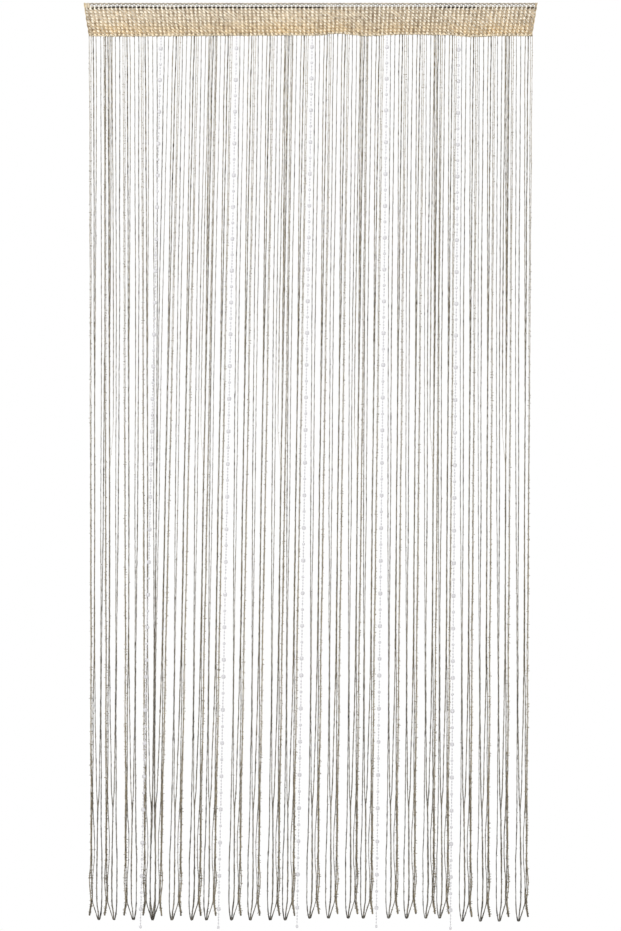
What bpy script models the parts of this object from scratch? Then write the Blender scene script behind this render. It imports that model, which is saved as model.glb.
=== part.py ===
# String curtain: a knitted heading with a rod pocket, 144 yarn strings in 24 clusters, and 5 bead strings.
# Lengths are in metres unless a name ends in MM or mm. +Z is up, +X is to the right seen from the front,
# and -Y faces the front. The origin is the middle of the heading's top edge, where the curtain hangs.

from collections import namedtuple

import bmesh
import bpy
import numpy as np
from mathutils import Vector

MM = 0.001

# Driving dimensions of the heading
HEADING_TOP_WIDTH = 0.994
HEADING_FOOT_WIDTH = 0.971
HEADING_DEPTH = 0.0723
HEADING_STATIONS = 20
RIPPLE_DEPTH = 0.0005
RIPPLE_HALF_WAVES = 5.5

# Depth of the heading's lower edge below its top edge, as uneven as it hangs
EdgeRow = namedtuple("EdgeRow", "x_mm depth_mm")
EDGE = (
    EdgeRow(-486, 73.0),
    EdgeRow(-430, 74.4),
    EdgeRow(-330, 73.8),
    EdgeRow(-180, 72.8),
    EdgeRow(-60, 72.2),
    EdgeRow(0, 72.6),
    EdgeRow(62, 68.2),
    EdgeRow(122, 73.4),
    EdgeRow(200, 70.2),
    EdgeRow(300, 71.6),
    EdgeRow(356, 75.2),
    EdgeRow(420, 73.2),
    EdgeRow(486, 73.6),
)

# Section of the heading by depth: half its thickness outside, and half the rod pocket's gap inside
SectionRow = namedtuple("SectionRow", "depth_mm half_mm")
SLEEVE_OUTSIDE = (
    SectionRow(0.0, 1.5),
    SectionRow(4.0, 4.0),
    SectionRow(16.0, 6.2),
    SectionRow(32.0, 6.4),
    SectionRow(47.0, 5.0),
    SectionRow(58.0, 1.6),
)
SLEEVE_INSIDE = (
    SectionRow(2.4, 0.9),
    SectionRow(16.0, 4.6),
    SectionRow(32.0, 4.8),
    SectionRow(47.0, 3.4),
    SectionRow(54.5, 0.5),
)
SLEEVE_FOOT_HALF_MM = 1.5

# The narrow strip at the heading's foot that carries the yarn strings, parted from the heading
CLEARANCE = 0.0003
STRIP_HEIGHT = 0.0030
STRIP_THICKNESS = 0.0030
ROOT_INSET = 0.0016

# Section of a yarn string, and the depth from one lane of strings to the next
STRING_WIDTH = 0.0017
STRING_THICKNESS = 0.00135
LANE_PITCH = 0.0017

# A row for each group of four clusters. hand is 1 where a cluster's first string is its left one, and -1
# where it is its right one. tops_mm and tips_mm give the clusters' x at the heading and at their tips.
Group = namedtuple("Group", "hand lane_shift tip_depth_mm tops_mm tips_mm")
GROUPS = (
    Group(-1, 3, 2008.9, (-336.2, -376.0, -417.9, -450.0), (-346.2, -387.2, -429.2, -463.0)),
    Group(1, 0, 2008.9, (-320.0, -280.3, -238.9, -206.1), (-346.2, -302.2, -258.9, -226.4)),
    Group(1, 0, 2008.9, (-154.4, -114.3, -72.9, -39.6), (-171.3, -130.3, -86.7, -53.9)),
    Group(1, 0, 2005.0, (10.7, 50.2, 91.8, 124.8), (-1.5, 40.7, 84.1, 117.2)),
    Group(1, 0, 2005.0, (175.4, 214.2, 254.0, 286.0), (172.6, 212.0, 253.8, 284.3)),
    Group(1, 0, 2011.5, (331.3, 369.7, 409.7, 450.9), (334.2, 374.3, 415.4, 458.8)),
)

# The six strings of a cluster are three loops of two strings. A lane keeps strings that cross apart in
# depth, and rise_mm lifts the foot of the third loop above the others.
YarnString = namedtuple("YarnString", "name lane rise_mm")
YARN_STRINGS = (
    YarnString("a", 1, 0.0),
    YarnString("b", 0, 0.0),
    YarnString("c", -1, 0.0),
    YarnString("d", 1, 0.0),
    YarnString("e", 0, 9.0),
    YarnString("f", -1, 9.0),
)

# Sideways place of each string of a cluster, from the cluster's line, by its drop below the heading
DropRow = namedtuple("DropRow", "drop_mm a b c d e f")
DROPS = (
    DropRow(0, 0.0, 9.6, 19.1, 25.3, 27.5, 29.6),
    DropRow(33, 0.0, 9.6, 19.1, 25.3, 27.5, 29.6),
    DropRow(142, -0.7, 8.1, 18.0, 23.7, 29.2, 31.6),
    DropRow(580, -2.8, 4.2, 18.6, 19.0, 27.4, 27.6),
    DropRow(1018, -2.8, 3.1, 15.6, 16.0, 24.0, 24.2),
    DropRow(1237, -0.4, 0.2, 14.7, 15.1, 22.5, 22.7),
    DropRow(1631, -0.4, 0.2, 8.5, 17.3, 18.0, 18.2),
    DropRow(1785, -4.2, 5.3, 4.8, 12.0, 18.6, 18.2),
    DropRow(1894, -5.0, 5.9, 5.3, 16.2, 15.4, 17.6),
    DropRow(1921, -3.9, 5.6, 5.0, 10.5, 19.6, 21.6),
    DropRow(1936, 1.5, 4.0, 3.6, 5.0, 21.0, 23.2),
)
FULL_DROP_MM = DROPS[-1].drop_mm
RISE_FROM_DROP_MM = 1900
CLUSTER_TIP_MM = 2.8

# The bead strings hang just in front of the yarn: their x at the heading and at the foot
BeadString = namedtuple("BeadString", "top_mm foot_mm")
BEAD_STRINGS = (
    BeadString(-327.8, -373.4),
    BeadString(-162.1, -203.7),
    BeadString(3.3, -30.0),
    BeadString(168.6, 145.0),
    BeadString(324.1, 305.7),
)
BEAD_STRING_FOOT_DEPTH = 2.030
BEAD_STRING_THICKNESS = 0.0026
BEAD_STRING_FORWARD = 0.0071
BEAD_STRING_SHARES = (0.0, 0.07, 0.4, 1.0)


def clear_scene():
    for item in list(bpy.data.objects):
        bpy.data.objects.remove(item)


def make_material(name, colour, roughness):
    material = bpy.data.materials.new(name)
    material.use_nodes = True
    shader = material.node_tree.nodes["Principled BSDF"]
    shader.inputs["Base Color"].default_value = (*colour, 1.0)
    shader.inputs["Roughness"].default_value = roughness
    shader.inputs["Metallic"].default_value = 0.0
    return material


def add_object(name, bm, material):
    mesh = bpy.data.meshes.new(name)
    bmesh.ops.recalc_face_normals(bm, faces=bm.faces)
    bm.to_mesh(mesh)
    bm.free()
    mesh.materials.append(material)
    item = bpy.data.objects.new(name, mesh)
    bpy.context.collection.objects.link(item)
    return item


def sweep(bm, faces, verts, sections):
    """Extrude the faces through each section in turn. A section gives a place for each of the verts."""
    numbers = {vert: number for number, vert in enumerate(verts)}
    for section in sections:
        edges = list({edge: None for face in faces for edge in face.edges})
        pushed = bmesh.ops.extrude_face_region(bm, geom=faces + edges + list(numbers))["geom"]
        faces = [item for item in pushed if isinstance(item, bmesh.types.BMFace)]
        partners = {tuple(vert.co): number for vert, number in numbers.items()}
        new_verts = [item for item in pushed if isinstance(item, bmesh.types.BMVert)]
        numbers = {vert: partners[tuple(vert.co)] for vert in new_verts}
        for vert, number in numbers.items():
            vert.co = section[number]


def edge_depth(x):
    """Depth of the heading's lower edge at x."""
    xs = [row.x_mm for row in EDGE]
    depths = [row.depth_mm for row in EDGE]
    return float(np.interp(x / MM, xs, depths)) * MM


def half_width(depth):
    """Half the heading's width at a depth: its sides slant in a little."""
    slant = (HEADING_TOP_WIDTH - HEADING_FOOT_WIDTH) / 2 / HEADING_DEPTH
    return HEADING_TOP_WIDTH / 2 - slant * depth


def ripple(across):
    """Soft wave of the heading in depth, with across running from -1 to 1 along it."""
    return RIPPLE_DEPTH * float(np.sin(np.pi * RIPPLE_HALF_WAVES * across))


def stations():
    return [float(across) for across in np.linspace(-1.0, 1.0, HEADING_STATIONS + 1)]


def ring(rows):
    """Section points down the front side and up the back side, as pairs of y and depth."""
    front = [(-row.half_mm * MM, row.depth_mm * MM) for row in rows]
    back = [(row.half_mm * MM, row.depth_mm * MM) for row in reversed(rows)]
    return front + back


def heading_point(across, y, depth):
    return Vector((across * half_width(depth), y + ripple(across), -depth))


def heading_rings(across):
    """The heading's section: its outer ring and the ring of the rod pocket."""
    foot_depth = edge_depth(across * half_width(HEADING_DEPTH)) - STRIP_HEIGHT - CLEARANCE
    foot = SectionRow(foot_depth / MM, SLEEVE_FOOT_HALF_MM)
    outer = [heading_point(across, y, depth) for y, depth in ring(SLEEVE_OUTSIDE + (foot,))]
    inner = [heading_point(across, y, depth) for y, depth in ring(SLEEVE_INSIDE)]
    return outer, inner


def closed_loop(bm, points):
    verts = [bm.verts.new(point) for point in points]
    return [bm.edges.new((verts[i - 1], verts[i])) for i in range(len(verts))]


def build_heading(material):
    bm = bmesh.new()
    edges = [edge for points in heading_rings(-1.0) for edge in closed_loop(bm, points)]
    verts = list(bm.verts)
    bmesh.ops.bridge_loops(bm, edges=edges)
    places = [sum(heading_rings(across), []) for across in stations()[1:]]
    sweep(bm, list(bm.faces), verts, places)
    return add_object("heading", bm, material)


def strip_section(across):
    x = across * half_width(HEADING_DEPTH)
    low = -edge_depth(x)
    front = ripple(across) - STRIP_THICKNESS / 2
    back = ripple(across) + STRIP_THICKNESS / 2
    corners = ((front, low + STRIP_HEIGHT), (front, low), (back, low), (back, low + STRIP_HEIGHT))
    return [Vector((x, y, z)) for y, z in corners]


def add_bar(bm, sections):
    """A closed bar through a list of sections."""
    verts = [bm.verts.new(point) for point in sections[0]]
    sweep(bm, [bm.faces.new(verts)], verts, sections[1:])


def string_path(group, cluster, string):
    """Middle line of one yarn string, from inside the strip down to its tip."""
    top = group.tops_mm[cluster]
    drift = group.tips_mm[cluster] - top - group.hand * CLUSTER_TIP_MM
    root_x = (top + group.hand * getattr(DROPS[0], string.name)) * MM
    root_z = -edge_depth(root_x)
    root_y = ripple(root_x / half_width(HEADING_DEPTH))
    lane_y = (string.lane + group.lane_shift) * LANE_PITCH
    path = [Vector((root_x, root_y, root_z + ROOT_INSET))]
    for row in DROPS[1:]:
        share = row.drop_mm / FULL_DROP_MM
        x = top + drift * share + group.hand * getattr(row, string.name)
        rise = string.rise_mm if row.drop_mm > RISE_FROM_DROP_MM else 0.0
        z = root_z + (-group.tip_depth_mm * MM - root_z) * share + rise * MM
        path.append(Vector((x * MM, lane_y, z)))
    return path


def triangle(centre):
    """Section of a yarn string, with its flat side to the front."""
    half = STRING_WIDTH / 2
    front = -STRING_THICKNESS / 3
    back = STRING_THICKNESS * 2 / 3
    return [centre + Vector(step) for step in ((-half, front, 0), (half, front, 0), (0, back, 0))]


def build_yarn_strings(material):
    bm = bmesh.new()
    add_bar(bm, [strip_section(across) for across in stations()])
    strip = add_object("yarn_strings", bm, material)
    bm = bmesh.new()
    for group in GROUPS:
        for cluster in range(len(group.tops_mm)):
            for string in YARN_STRINGS:
                add_bar(bm, [triangle(point) for point in string_path(group, cluster, string)])
    strings = add_object("strings_to_join", bm, material)
    strings.hide_render = True
    strings.display_type = "WIRE"
    join = strip.modifiers.new("join", "BOOLEAN")
    join.operation = "UNION"
    join.solver = "EXACT"
    join.object = strings
    return strip


def square(centre):
    """Section of a bead string."""
    half = BEAD_STRING_THICKNESS / 2
    corners = ((-half, -half, 0), (half, -half, 0), (half, half, 0), (-half, half, 0))
    return [centre + Vector(step) for step in corners]


def build_bead_string(name, string, material):
    top_z = -edge_depth(string.top_mm * MM) - 2 * CLEARANCE
    path = []
    for share in BEAD_STRING_SHARES:
        x = (string.top_mm + (string.foot_mm - string.top_mm) * share) * MM
        y = -BEAD_STRING_FORWARD if share > 0.0 else 0.0
        z = top_z + (-BEAD_STRING_FOOT_DEPTH - top_z) * share
        path.append(Vector((x, y, z)))
    bm = bmesh.new()
    add_bar(bm, [square(point) for point in path])
    return add_object(name, bm, material)


def main():
    clear_scene()
    knit = make_material("knit", (0.60, 0.47, 0.31), 0.85)
    yarn = make_material("yarn", (0.24, 0.21, 0.17), 0.80)
    bead = make_material("bead", (0.86, 0.88, 0.88), 0.12)
    build_heading(knit)
    build_yarn_strings(yarn)
    for number, string in enumerate(BEAD_STRINGS, start=1):
        build_bead_string(f"bead_string_{number}", string, bead)


main()
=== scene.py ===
# %% [markdown]
# # A string curtain, one metre wide
# The curtain has three kinds of piece: a knitted heading with a pocket for the rod, yarn strings that hang
# from its foot in 24 clusters of three loops, and five strings of clear beads. The frame holds plain solids
# of them all. Here each one gets its real surface: knitted stitches, nubbly yarn, beads on a thread. Six
# more loops, seen only in the upper half of the photo, are added here.

# %% Load the frame
import math
from collections import namedtuple

import bmesh
import bpy
import numpy as np
from mathutils import Matrix, Vector


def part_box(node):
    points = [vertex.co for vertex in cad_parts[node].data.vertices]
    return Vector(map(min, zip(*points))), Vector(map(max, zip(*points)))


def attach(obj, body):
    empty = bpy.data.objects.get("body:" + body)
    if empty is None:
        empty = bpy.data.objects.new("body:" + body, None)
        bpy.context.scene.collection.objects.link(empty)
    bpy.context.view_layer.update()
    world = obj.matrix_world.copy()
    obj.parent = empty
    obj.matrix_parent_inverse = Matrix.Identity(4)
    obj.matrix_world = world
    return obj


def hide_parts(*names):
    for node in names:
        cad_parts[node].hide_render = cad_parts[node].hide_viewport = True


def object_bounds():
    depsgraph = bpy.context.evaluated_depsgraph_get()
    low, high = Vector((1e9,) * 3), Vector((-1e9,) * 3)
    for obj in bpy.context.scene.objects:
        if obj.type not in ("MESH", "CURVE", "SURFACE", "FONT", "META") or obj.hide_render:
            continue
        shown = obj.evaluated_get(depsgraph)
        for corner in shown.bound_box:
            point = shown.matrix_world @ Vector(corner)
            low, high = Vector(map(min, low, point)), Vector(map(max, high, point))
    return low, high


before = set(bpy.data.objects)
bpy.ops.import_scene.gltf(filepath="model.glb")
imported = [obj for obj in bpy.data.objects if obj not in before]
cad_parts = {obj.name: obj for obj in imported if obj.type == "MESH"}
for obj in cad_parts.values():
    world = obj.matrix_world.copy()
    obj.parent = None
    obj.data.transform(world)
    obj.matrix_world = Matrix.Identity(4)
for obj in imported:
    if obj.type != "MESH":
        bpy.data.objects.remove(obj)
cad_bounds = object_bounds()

MM = 0.001
chance = np.random.default_rng(7)
heading_low, heading_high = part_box("heading")
TOP_HALF_WIDTH = float(heading_high[0])
print("heading", [round(float(v), 4) for v in heading_low], [round(float(v), 4) for v in heading_high])

# %% [markdown]
# ## Where the camera stands
# The photo looks at the curtain straight on from far away, so its strings show no perspective. One pixel
# of the photo is 2.19 mm at the curtain, and the photo's middle lies a metre below the heading's top edge.
# A long lens at that height gives the same view. The world is plain white, as a packshot's background is.
# The floor lies 0.22 m below the lowest bead, because a curtain hangs clear of the floor.

# %% Camera, floor and light
PIXEL = 0.00219
PHOTO_SIZE = (621, 931)
MIDDLE_PIXEL = (310, 465)
PHOTO_CENTRE_LINE = 310.0
PHOTO_TOP_EDGE = 2.0
SENSOR = 36.0
LENS = 120.0
FLOOR_GAP = 0.22
FLOOR_HALF = 1.3


def photo_x(pixel):
    return (pixel - PHOTO_CENTRE_LINE) * PIXEL


def photo_z(pixel):
    return -(pixel - PHOTO_TOP_EDGE) * PIXEL


def add_camera():
    data = bpy.data.cameras.new("camera")
    data.lens = LENS
    data.sensor_width = SENSOR
    camera = bpy.data.objects.new("camera", data)
    bpy.context.collection.objects.link(camera)
    distance = PHOTO_SIZE[1] * PIXEL * LENS / SENSOR
    camera.location = (photo_x(MIDDLE_PIXEL[0]), -distance, photo_z(MIDDLE_PIXEL[1]))
    camera.rotation_euler = (math.radians(90), 0, 0)
    bpy.context.scene.camera = camera
    return distance


def add_floor():
    bm = bmesh.new()
    bmesh.ops.create_grid(bm, x_segments=1, y_segments=1, size=FLOOR_HALF)
    bmesh.ops.translate(bm, verts=bm.verts, vec=(0, 0, float(cad_bounds[0][2]) - FLOOR_GAP))
    mesh = bpy.data.meshes.new("floor")
    bm.to_mesh(mesh)
    bm.free()
    floor = bpy.data.objects.new("floor", mesh)
    bpy.context.collection.objects.link(floor)
    material = bpy.data.materials.new("pale_floor")
    material.use_nodes = True
    shader = material.node_tree.nodes["Principled BSDF"]
    shader.inputs["Base Color"].default_value = (0.93, 0.93, 0.92, 1)
    shader.inputs["Roughness"].default_value = 0.9
    mesh.materials.append(material)


def add_area_light(name, place, aim, size, power):
    data = bpy.data.lights.new(name, "AREA")
    data.shape = "SQUARE"
    data.size = size
    data.energy = power
    light = bpy.data.objects.new(name, data)
    light.location = place
    light.rotation_euler = (Vector(aim) - Vector(place)).to_track_quat("-Z", "Y").to_euler()
    bpy.context.collection.objects.link(light)


def add_world(strength):
    world = bpy.data.worlds.new("white_studio")
    world.use_nodes = True
    background = world.node_tree.nodes["Background"]
    background.inputs["Color"].default_value = (1, 1, 1, 1)
    background.inputs["Strength"].default_value = strength
    bpy.context.scene.world = world


bpy.context.scene.view_settings.view_transform = "Standard"
add_floor()
add_world(strength=1.0)
add_area_light("key", place=(-1.6, -2.6, 0.9), aim=(0, 0, -0.6), size=1.2, power=36)
print("camera distance", round(add_camera(), 3))

# %% [markdown]
# ## Smooth curves through short tables
# Most shapes here follow a short table: a row for each height, a named column for each thing that changes.
# A smooth curve runs through the rows. Its slope is level wherever the rows turn back, so it never swings
# past them, and a string that the table keeps straight stays straight.

# %% Curves through tables


def smooth(x, xs, ys):
    """Value at x of a smooth curve through the points xs, ys."""
    xs = np.asarray(xs, float)
    ys = np.asarray(ys, float)
    x = np.clip(np.asarray(x, float), xs[0], xs[-1])
    steps = np.diff(ys) / np.diff(xs)
    slopes = np.zeros(len(xs))
    slopes[0], slopes[-1] = steps[0], steps[-1]
    before, after = steps[:-1], steps[1:]
    onwards = before * after > 0
    total = np.where(onwards, before + after, 1.0)
    slopes[1:-1] = np.where(onwards, 2 * before * after / total, 0.0)
    low = np.clip(np.searchsorted(xs, x, side="right") - 1, 0, len(xs) - 2)
    width = xs[low + 1] - xs[low]
    t = (x - xs[low]) / width
    start = (2 * t**3 - 3 * t**2 + 1) * ys[low] + (t**3 - 2 * t**2 + t) * width * slopes[low]
    end = (-2 * t**3 + 3 * t**2) * ys[low + 1] + (t**3 - t**2) * width * slopes[low + 1]
    return start + end


def column(rows, name):
    return [getattr(row, name) for row in rows]


def soft_noise(count, reach):
    """Random values from -1 to 1 that change smoothly, over about reach steps."""
    knots = chance.uniform(-1, 1, max(4, int(count / reach) + 3))
    return smooth(np.linspace(0, len(knots) - 1, count), np.arange(len(knots)), knots)


def ease(value):
    """0 to 1 as value goes from 0 to 1, with soft ends."""
    t = np.clip(value, 0, 1)
    return t * t * (3 - 2 * t)


print("noise sample", np.round(soft_noise(6, 2), 2))

# %% [markdown]
# ## Yarn material
# Every yarn here has three effects: a twist drawn as slanted bands, fine fibre fuzz, and larger nubs. They
# are one shader node group with named inputs, used in each yarn material with its own sizes. The group
# gives a height for the bump, from twist and fuzz, and two masks for the colour, from fuzz and nubs. The
# shader itself stays in each material. Each yarn mesh carries two attributes: tone, from dark to light,
# and warmth, from grey to golden.

# %% A node group for yarn


def math_node(tree, operation, *values):
    node = tree.nodes.new("ShaderNodeMath")
    node.operation = operation
    for socket, value in zip(node.inputs, values):
        if isinstance(value, (int, float)):
            socket.default_value = value
        else:
            tree.links.new(value, socket)
    return node.outputs[0]


GROUP_INPUTS = (
    ("Twist Scale", 200.0),
    ("Fuzz Scale", 1200.0),
    ("Nub Scale", 250.0),
    ("Fuzz", 0.5),
)


def build_yarn_group():
    group = bpy.data.node_groups.new("yarn_surface", "ShaderNodeTree")
    for title, value in GROUP_INPUTS:
        socket = group.interface.new_socket(title, in_out="INPUT", socket_type="NodeSocketFloat")
        socket.default_value = value
    for title in ("Height", "Mask", "Nubs"):
        group.interface.new_socket(title, in_out="OUTPUT", socket_type="NodeSocketFloat")
    inside = group.nodes.new("NodeGroupInput")
    outside = group.nodes.new("NodeGroupOutput")
    place = group.nodes.new("ShaderNodeTexCoord")
    twist = group.nodes.new("ShaderNodeTexWave")
    twist.bands_direction = "DIAGONAL"
    twist.inputs["Distortion"].default_value = 2.0
    twist.inputs["Detail"].default_value = 1.0
    group.links.new(place.outputs["Object"], twist.inputs["Vector"])
    group.links.new(inside.outputs["Twist Scale"], twist.inputs["Scale"])
    fuzz = group.nodes.new("ShaderNodeTexNoise")
    fuzz.inputs["Detail"].default_value = 3.0
    group.links.new(place.outputs["Object"], fuzz.inputs["Vector"])
    group.links.new(inside.outputs["Fuzz Scale"], fuzz.inputs["Scale"])
    share = math_node(group, "MULTIPLY", fuzz.outputs["Fac"], inside.outputs["Fuzz"])
    group.links.new(math_node(group, "ADD", twist.outputs["Fac"], share), outside.inputs["Height"])
    group.links.new(fuzz.outputs["Fac"], outside.inputs["Mask"])
    nubs = group.nodes.new("ShaderNodeTexNoise")
    nubs.inputs["Detail"].default_value = 1.0
    group.links.new(place.outputs["Object"], nubs.inputs["Vector"])
    group.links.new(inside.outputs["Nub Scale"], nubs.inputs["Scale"])
    group.links.new(nubs.outputs["Fac"], outside.inputs["Nubs"])
    return group


yarn_surface = build_yarn_group()
print("node group", yarn_surface.name)

# %% Yarn looks
YarnLook = namedtuple(
    "YarnLook",
    "dark light warm twist_scale fuzz_scale fuzz_colour nub_colour bump roughness sheen",
)
BUMP_DISTANCE = 0.0003
NUB_SCALE = 260.0
SHEEN_ROUGHNESS = 0.5
MIX_COLOUR_A = 6
MIX_COLOUR_B = 7
MIX_RESULT = 2


def attribute_value(tree, name):
    node = tree.nodes.new("ShaderNodeAttribute")
    node.attribute_name = name
    return node.outputs["Fac"]


def yarn_material(name, look):
    material = bpy.data.materials.new(name)
    material.use_nodes = True
    tree = material.node_tree
    shader = tree.nodes["Principled BSDF"]
    surface = tree.nodes.new("ShaderNodeGroup")
    surface.node_tree = yarn_surface
    surface.inputs["Twist Scale"].default_value = look.twist_scale
    surface.inputs["Fuzz Scale"].default_value = look.fuzz_scale
    surface.inputs["Nub Scale"].default_value = NUB_SCALE
    shade = attribute_value(tree, "tone")
    for title, share in (("Mask", look.fuzz_colour), ("Nubs", look.nub_colour)):
        change = math_node(tree, "MULTIPLY_ADD", surface.outputs[title], share, -share / 2)
        shade = math_node(tree, "ADD", shade, change)
    ramp = tree.nodes.new("ShaderNodeValToRGB")
    ramp.color_ramp.elements[0].color = (*look.dark, 1)
    ramp.color_ramp.elements[1].color = (*look.light, 1)
    tree.links.new(shade, ramp.inputs["Fac"])
    warm = tree.nodes.new("ShaderNodeMix")
    warm.data_type = "RGBA"
    warm.blend_type = "MULTIPLY"
    tree.links.new(attribute_value(tree, "warmth"), warm.inputs["Factor"])
    tree.links.new(ramp.outputs["Color"], warm.inputs[MIX_COLOUR_A])
    warm.inputs[MIX_COLOUR_B].default_value = (*look.warm, 1)
    tree.links.new(warm.outputs[MIX_RESULT], shader.inputs["Base Color"])
    bump = tree.nodes.new("ShaderNodeBump")
    bump.inputs["Strength"].default_value = look.bump
    bump.inputs["Distance"].default_value = BUMP_DISTANCE
    tree.links.new(surface.outputs["Height"], bump.inputs["Height"])
    tree.links.new(bump.outputs["Normal"], shader.inputs["Normal"])
    shader.inputs["Roughness"].default_value = look.roughness
    shader.inputs["Sheen Weight"].default_value = look.sheen
    shader.inputs["Sheen Roughness"].default_value = SHEEN_ROUGHNESS
    return material


string_yarn = yarn_material("string_yarn", YarnLook(
    dark=(0.022, 0.019, 0.016), light=(0.64, 0.60, 0.53), warm=(1.10, 0.92, 0.55),
    twist_scale=160.0, fuzz_scale=900.0, fuzz_colour=0.15, nub_colour=0.8,
    bump=0.6, roughness=0.75, sheen=0.12,
))
knit_yarn = yarn_material("knit_yarn", YarnLook(
    dark=(0.22, 0.16, 0.10), light=(1.0, 0.97, 0.88), warm=(1.0, 0.85, 0.60),
    twist_scale=220.0, fuzz_scale=1100.0, fuzz_colour=0.2, nub_colour=0.3,
    bump=0.5, roughness=0.65, sheen=0.15,
))
knit_ground = yarn_material("knit_ground", YarnLook(
    dark=(0.20, 0.14, 0.08), light=(0.84, 0.73, 0.57), warm=(1.0, 0.85, 0.60),
    twist_scale=120.0, fuzz_scale=320.0, fuzz_colour=0.3, nub_colour=0.5,
    bump=0.8, roughness=0.85, sheen=0.15,
))
net_yarn = yarn_material("net_yarn", YarnLook(
    dark=(0.13, 0.12, 0.10), light=(0.86, 0.82, 0.74), warm=(1.0, 0.86, 0.62),
    twist_scale=220.0, fuzz_scale=1100.0, fuzz_colour=0.2, nub_colour=0.5,
    bump=0.5, roughness=0.7, sheen=0.15,
))
# near-black thread colour, partly painted shade of the rod pocket's hollow
pocket_thread_and_shade = yarn_material("pocket_thread_and_shade", YarnLook(
    dark=(0.014, 0.008, 0.003), light=(0.34, 0.26, 0.17), warm=(1.0, 0.86, 0.62),
    twist_scale=300.0, fuzz_scale=1400.0, fuzz_colour=0.1, nub_colour=0.0,
    bump=0.4, roughness=0.9, sheen=0.0,
))
print("yarn materials", len(bpy.data.materials) - 1)

# %% [markdown]
# ## Tubes of yarn
# Yarn is a tube along a path. Blender's curve object does this well: a poly spline for each path, a bevel
# for the thickness, and a radius for each point, so that the yarn can swell at a nub. The curve is made a
# mesh at once, and each ring of the tube then gets its tone and warmth. Shapes that are repeated, such as
# stitches and beads, are modelled once and copied into one mesh, each copy with its own points.

# %% Tubes and copies
CORNERS = {0: 4, 1: 6}
Yarn = namedtuple("Yarn", "path radius tone warmth")


def add_piece(name, mesh, material):
    """Make the mesh a piece that rides on the curtain's one body."""
    mesh.materials.clear()
    mesh.materials.append(material)
    mesh.shade_smooth()
    piece = bpy.data.objects.new(name, mesh)
    bpy.context.collection.objects.link(piece)
    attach(piece, "root")
    print(name, "faces", len(mesh.polygons))
    return piece


def set_attribute(mesh, name, values):
    attribute = mesh.attributes.new(name, "FLOAT", "POINT")
    attribute.data.foreach_set("value", np.asarray(values, np.float32))


def tube_mesh(name, yarns, resolution=0):
    """One mesh of a tube for each yarn."""
    data = bpy.data.curves.new(name, "CURVE")
    data.dimensions = "3D"
    data.bevel_depth = 1.0
    data.bevel_resolution = resolution
    for yarn in yarns:
        count = len(yarn.path)
        spline = data.splines.new("POLY")
        spline.points.add(count - 1)
        spline.points.foreach_set("co", np.column_stack([yarn.path, np.ones(count)]).ravel())
        spline.points.foreach_set("radius", np.broadcast_to(yarn.radius, count).astype(float))
    holder = bpy.data.objects.new(name, data)
    bpy.context.collection.objects.link(holder)
    mesh = bpy.data.meshes.new_from_object(holder)
    bpy.data.objects.remove(holder)
    bpy.data.curves.remove(data)
    bm = bmesh.new()
    bm.from_mesh(mesh)
    bmesh.ops.holes_fill(bm, edges=[edge for edge in bm.edges if edge.is_boundary], sides=0)
    bm.to_mesh(mesh)
    bm.free()
    for title in ("tone", "warmth"):
        rings = [np.broadcast_to(getattr(yarn, title), len(yarn.path)) for yarn in yarns]
        set_attribute(mesh, title, np.repeat(np.concatenate(rings), CORNERS[resolution]))
    return mesh


def points_of(mesh):
    points = np.empty(len(mesh.vertices) * 3)
    mesh.vertices.foreach_get("co", points)
    return points.reshape(-1, 3)


def copies_mesh(name, batches):
    """One mesh of many copies. A batch is a template mesh and an array of copies by points by XYZ."""
    bm = bmesh.new()
    for template, places in batches:
        for _ in range(len(places)):
            bm.from_mesh(template)
    mesh = bpy.data.meshes.new(name)
    bm.to_mesh(mesh)
    bm.free()
    mesh.vertices.foreach_set("co", np.concatenate([places.reshape(-1) for _, places in batches]))
    bm = bmesh.new()
    bm.from_mesh(mesh)
    bmesh.ops.recalc_face_normals(bm, faces=bm.faces)
    bm.to_mesh(mesh)
    bm.free()
    return mesh


# %% [markdown]
# ## The heading's shape
# The heading is one band folded double: a flat sleeve whose walls stand a little apart where the rod goes,
# and lie together at the foot. Its sides slant in and its lower edge wavers by a few millimetres. The same
# short tables as in the solid model say where its walls are, so that the stitches sit on them.

# %% Heading tables
HEADING_DEPTH = 0.0723
FOOT_LOSS = 0.0115
RIPPLE_DEPTH = 0.0005
RIPPLE_HALF_WAVES = 5.5
WALES = 108
WALE_PITCH = 2 * TOP_HALF_WIDTH / WALES

EdgeRow = namedtuple("EdgeRow", "x_mm depth_mm")
EDGE = (
    EdgeRow(-497, 73.0),
    EdgeRow(-430, 74.4),
    EdgeRow(-330, 73.8),
    EdgeRow(-180, 72.8),
    EdgeRow(-60, 72.2),
    EdgeRow(0, 72.6),
    EdgeRow(62, 68.2),
    EdgeRow(122, 73.4),
    EdgeRow(200, 70.2),
    EdgeRow(300, 71.6),
    EdgeRow(356, 75.2),
    EdgeRow(420, 73.2),
    EdgeRow(497, 73.6),
)
WallRow = namedtuple("WallRow", "depth_mm half_mm")
WALL = (
    WallRow(0.0, 1.0),
    WallRow(4.0, 3.6),
    WallRow(16.0, 5.6),
    WallRow(32.0, 5.8),
    WallRow(47.0, 4.4),
    WallRow(58.0, 1.6),
    WallRow(80.0, 1.1),
)


def edge_depth(x):
    return smooth(np.asarray(x) / MM, column(EDGE, "x_mm"), column(EDGE, "depth_mm")) * MM


def heading_x(across, depth):
    return across * (TOP_HALF_WIDTH - FOOT_LOSS * np.asarray(depth) / HEADING_DEPTH)


def real_depth(across, depth):
    """Depth on the wavering heading of a point whose depth is given for the mean lower edge."""
    start = 0.014
    foot = edge_depth(across * (TOP_HALF_WIDTH - FOOT_LOSS))
    share = (np.asarray(depth) - start) / (HEADING_DEPTH - start)
    return np.where(share > 0, start + share * (foot - start), depth)


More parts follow.
